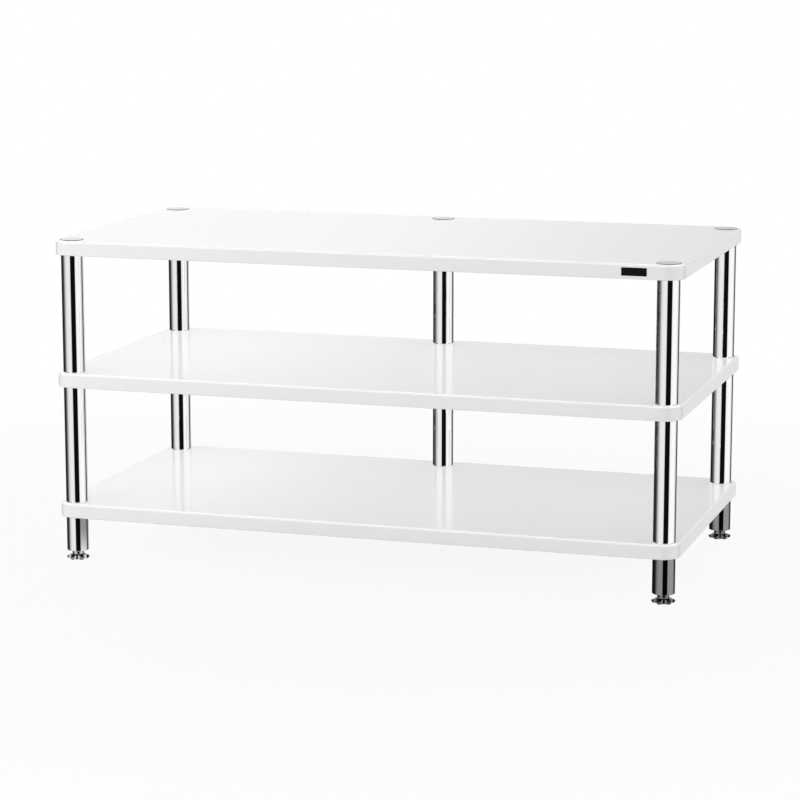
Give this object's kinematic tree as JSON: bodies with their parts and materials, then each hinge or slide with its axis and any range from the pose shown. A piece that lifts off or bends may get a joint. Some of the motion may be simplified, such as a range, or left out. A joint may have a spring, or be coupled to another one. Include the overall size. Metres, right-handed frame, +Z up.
{
  "type": "audio rack",
  "caption": "Wide open audio rack: gloss white round-cornered shelves clamped between polished steel tube columns with flush cover caps, on star-shaped screw levelling feet.",
  "frame": {"origin": "on the floor, below the middle of the shelves", "axes": "+X to the right seen from the front, +Y to the back, +Z up"},
  "size_m": [1.1, 0.5504, 0.5638],
  "materials": {
    "white_lacquer": "high-gloss white lacquer on fibre board, rounded edges",
    "polished_steel": "mirror-polished steel tube",
    "foot_steel": "polished turned and milled steel",
    "satin_steel": "satin turned steel",
    "plain_steel": "plain machined steel, zinc plated",
    "black_badge": "semi-gloss black, blank"
  },
  "bodies": {
    "rack": {"top_shelf": "white_lacquer", "middle_shelf": "white_lacquer", "bottom_shelf": "white_lacquer", "upper_tube_plugs": "plain_steel", "lower_tube_plugs": "plain_steel", "leg_plugs": "plain_steel", "middle_shelf_studs": "plain_steel", "bottom_shelf_studs": "plain_steel", "front_badge": "black_badge", "upper_tube_front_left": "polished_steel", "lower_tube_front_left": "polished_steel", "leg_front_left": "polished_steel", "cap_front_left": "satin_steel", "upper_tube_front_right": "polished_steel", "lower_tube_front_right": "polished_steel", "leg_front_right": "polished_steel", "cap_front_right": "satin_steel", "upper_tube_rear_left": "polished_steel", "lower_tube_rear_left": "polished_steel", "leg_rear_left": "polished_steel", "cap_rear_left": "satin_steel", "upper_tube_rear_centre": "polished_steel", "lower_tube_rear_centre": "polished_steel", "leg_rear_centre": "polished_steel", "cap_rear_centre": "satin_steel", "upper_tube_rear_right": "polished_steel", "lower_tube_rear_right": "polished_steel", "leg_rear_right": "polished_steel", "cap_rear_right": "satin_steel"},
    "spindle_front_left": {"foot_spindle_front_left": "plain_steel"},
    "foot_front_left": {"star_foot_front_left": "foot_steel"},
    "spindle_front_right": {"foot_spindle_front_right": "plain_steel"},
    "foot_front_right": {"star_foot_front_right": "foot_steel"},
    "spindle_rear_left": {"foot_spindle_rear_left": "plain_steel"},
    "foot_rear_left": {"star_foot_rear_left": "foot_steel"},
    "spindle_rear_centre": {"foot_spindle_rear_centre": "plain_steel"},
    "foot_rear_centre": {"star_foot_rear_centre": "foot_steel"},
    "spindle_rear_right": {"foot_spindle_rear_right": "plain_steel"},
    "foot_rear_right": {"star_foot_rear_right": "foot_steel"}
  },
  "joints": [
    {"name": "foot_lift_front_left", "type": "slide", "parent": "rack", "child": "spindle_front_left", "axis": [0, 0, -1], "range_m": [0, 0.01]},
    {"name": "foot_turn_front_left", "type": "hinge", "parent": "spindle_front_left", "child": "foot_front_left", "pos_m": [-0.523, -0.245, 0], "axis": [0, 0, -1], "range_deg": [0, 2400]},
    {"name": "foot_lift_front_right", "type": "slide", "parent": "rack", "child": "spindle_front_right", "axis": [0, 0, -1], "range_m": [0, 0.01]},
    {"name": "foot_turn_front_right", "type": "hinge", "parent": "spindle_front_right", "child": "foot_front_right", "pos_m": [0.523, -0.245, 0], "axis": [0, 0, -1], "range_deg": [0, 2400]},
    {"name": "foot_lift_rear_left", "type": "slide", "parent": "rack", "child": "spindle_rear_left", "axis": [0, 0, -1], "range_m": [0, 0.01]},
    {"name": "foot_turn_rear_left", "type": "hinge", "parent": "spindle_rear_left", "child": "foot_rear_left", "pos_m": [-0.523, 0.245, 0], "axis": [0, 0, -1], "range_deg": [0, 2400]},
    {"name": "foot_lift_rear_centre", "type": "slide", "parent": "rack", "child": "spindle_rear_centre", "axis": [0, 0, -1], "range_m": [0, 0.01]},
    {"name": "foot_turn_rear_centre", "type": "hinge", "parent": "spindle_rear_centre", "child": "foot_rear_centre", "pos_m": [0, 0.245, 0], "axis": [0, 0, -1], "range_deg": [0, 2400]},
    {"name": "foot_lift_rear_right", "type": "slide", "parent": "rack", "child": "spindle_rear_right", "axis": [0, 0, -1], "range_m": [0, 0.01]},
    {"name": "foot_turn_rear_right", "type": "hinge", "parent": "spindle_rear_right", "child": "foot_rear_right", "pos_m": [0.523, 0.245, 0], "axis": [0, 0, -1], "range_deg": [0, 2400]}
  ],
  "couplings": [
    {"joint": "foot_lift_front_left", "follows": "foot_turn_front_left", "m_per_rad": 0.00023873},
    {"joint": "foot_lift_front_right", "follows": "foot_turn_front_right", "m_per_rad": 0.00023873},
    {"joint": "foot_lift_rear_left", "follows": "foot_turn_rear_left", "m_per_rad": 0.00023873},
    {"joint": "foot_lift_rear_centre", "follows": "foot_turn_rear_centre", "m_per_rad": 0.00023873},
    {"joint": "foot_lift_rear_right", "follows": "foot_turn_rear_right", "m_per_rad": 0.00023873}
  ]
}
